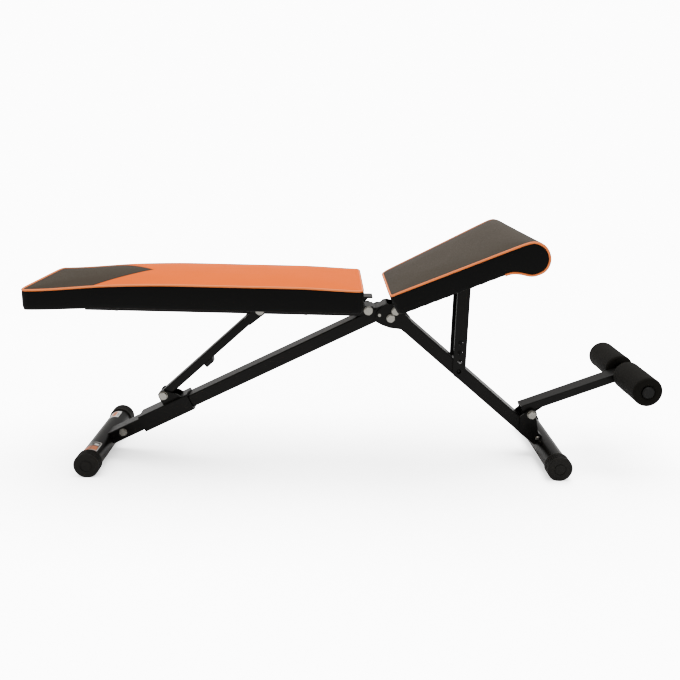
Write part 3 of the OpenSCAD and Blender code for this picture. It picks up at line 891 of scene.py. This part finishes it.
def soft_light(name, place, size, power, target):
    """A rectangular light that faces target."""
    light = bpy.data.lights.new(name, "AREA")
    light.shape = "RECTANGLE"
    light.size, light.size_y = size
    light.energy = power
    obj = linked(name, light)
    obj.location = place
    obj.rotation_mode = "QUATERNION"
    obj.rotation_quaternion = (Vector(target) - Vector(place)).to_track_quat("-Z", "Y")


CAMERA_PLACE = Vector((-0.0375, -1.7983, 0.7739))
CAMERA_PITCH = 15.09
CAMERA_YAW = 0.79
CAMERA_ROLL = 0.77
CAMERA_LENS = 40.70


def build_camera():
    """The viewing position: almost side-on, slightly above the pads."""
    data = bpy.data.cameras.new("view_camera")
    data.lens = CAMERA_LENS
    data.sensor_width = 36.0
    data.clip_start, data.clip_end = 0.05, 60.0
    camera = linked("view_camera", data)
    turn = (Matrix.Rotation(math.radians(-CAMERA_YAW), 4, "Z")
            @ Matrix.Rotation(math.radians(90 - CAMERA_PITCH), 4, "X")
            @ Matrix.Rotation(math.radians(CAMERA_ROLL), 4, "Z"))
    camera.matrix_world = Matrix.Translation(CAMERA_PLACE) @ turn
    bpy.context.scene.camera = camera


# ---------- operators ----------
class BENCH_OT_finishes(bpy.types.Operator):
    """Gives every tube, plate, bolt and plug its finish"""
    bl_idname = "bench.finishes"
    bl_label = "Frame Finishes"

    def execute(self, context):
        finish_frame(context.scene.bench_colours)
        return {"FINISHED"}


class BENCH_OT_backrest(bpy.types.Operator):
    """Makes the backrest cushion and its piping"""
    bl_idname = "bench.backrest"
    bl_label = "Backrest Cushion"

    def execute(self, context):
        build_backrest(context.scene.bench_pads, context.scene.bench_colours)
        return {"FINISHED"}


class BENCH_OT_seat(bpy.types.Operator):
    """Makes the seat cushion with its knee roll and piping"""
    bl_idname = "bench.seat"
    bl_label = "Seat Cushion"

    def execute(self, context):
        build_seat(context.scene.bench_pads, context.scene.bench_colours)
        return {"FINISHED"}


class BENCH_OT_rollers(bpy.types.Operator):
    """Makes the two foam rollers"""
    bl_idname = "bench.rollers"
    bl_label = "Foam Rollers"

    def execute(self, context):
        build_rollers(context.scene.bench_colours)
        return {"FINISHED"}


class BENCH_OT_labels(bpy.types.Operator):
    """Makes the two plain labels on the rear foot bar"""
    bl_idname = "bench.labels"
    bl_label = "Foot Bar Labels"

    def execute(self, context):
        build_labels(context.scene.bench_colours)
        return {"FINISHED"}


class BENCH_OT_welds(bpy.types.Operator):
    """Makes the weld beads that show"""
    bl_idname = "bench.welds"
    bl_label = "Weld Beads"

    def execute(self, context):
        build_welds(context.scene.bench_colours)
        return {"FINISHED"}


class BENCH_OT_stage(bpy.types.Operator):
    """Makes the floor, the light and the camera"""
    bl_idname = "bench.stage"
    bl_label = "Studio Stage"

    def execute(self, context):
        build_stage(context.scene.bench_stage)
        build_camera()
        return {"FINISHED"}


OPERATORS = (BENCH_OT_stage, BENCH_OT_finishes, BENCH_OT_backrest, BENCH_OT_seat, BENCH_OT_rollers,
             BENCH_OT_labels, BENCH_OT_welds)


class BENCH_PT_sidebar(bpy.types.Panel):
    """Lists the bench's pieces"""
    bl_idname = "BENCH_PT_sidebar"
    bl_label = "Weight Bench"
    bl_space_type = "VIEW_3D"
    bl_region_type = "UI"
    bl_category = "Bench"

    def draw(self, context):
        for group in (context.scene.bench_pads, context.scene.bench_colours, context.scene.bench_stage):
            box = self.layout.box()
            for key in group.bl_rna.properties.keys():
                if key not in {"rna_type", "name"}:
                    box.prop(group, key)
        for operator in OPERATORS:
            self.layout.operator(operator.bl_idname)


GROUPS = {"bench_pads": BenchPads, "bench_colours": BenchColours, "bench_stage": BenchStage}
CLASSES = (*GROUPS.values(), *OPERATORS, BENCH_PT_sidebar)


def register():
    for cls in CLASSES:
        bpy.utils.register_class(cls)
    for name, group in GROUPS.items():
        setattr(bpy.types.Scene, name, bpy.props.PointerProperty(type=group))


def unregister():
    for name in GROUPS:
        delattr(bpy.types.Scene, name)
    for cls in reversed(CLASSES):
        bpy.utils.unregister_class(cls)


def main():
    register()
    for operator in OPERATORS:
        group, _, call = operator.bl_idname.partition(".")
        getattr(getattr(bpy.ops, group), call)()


if __name__ == "__main__":
    main()
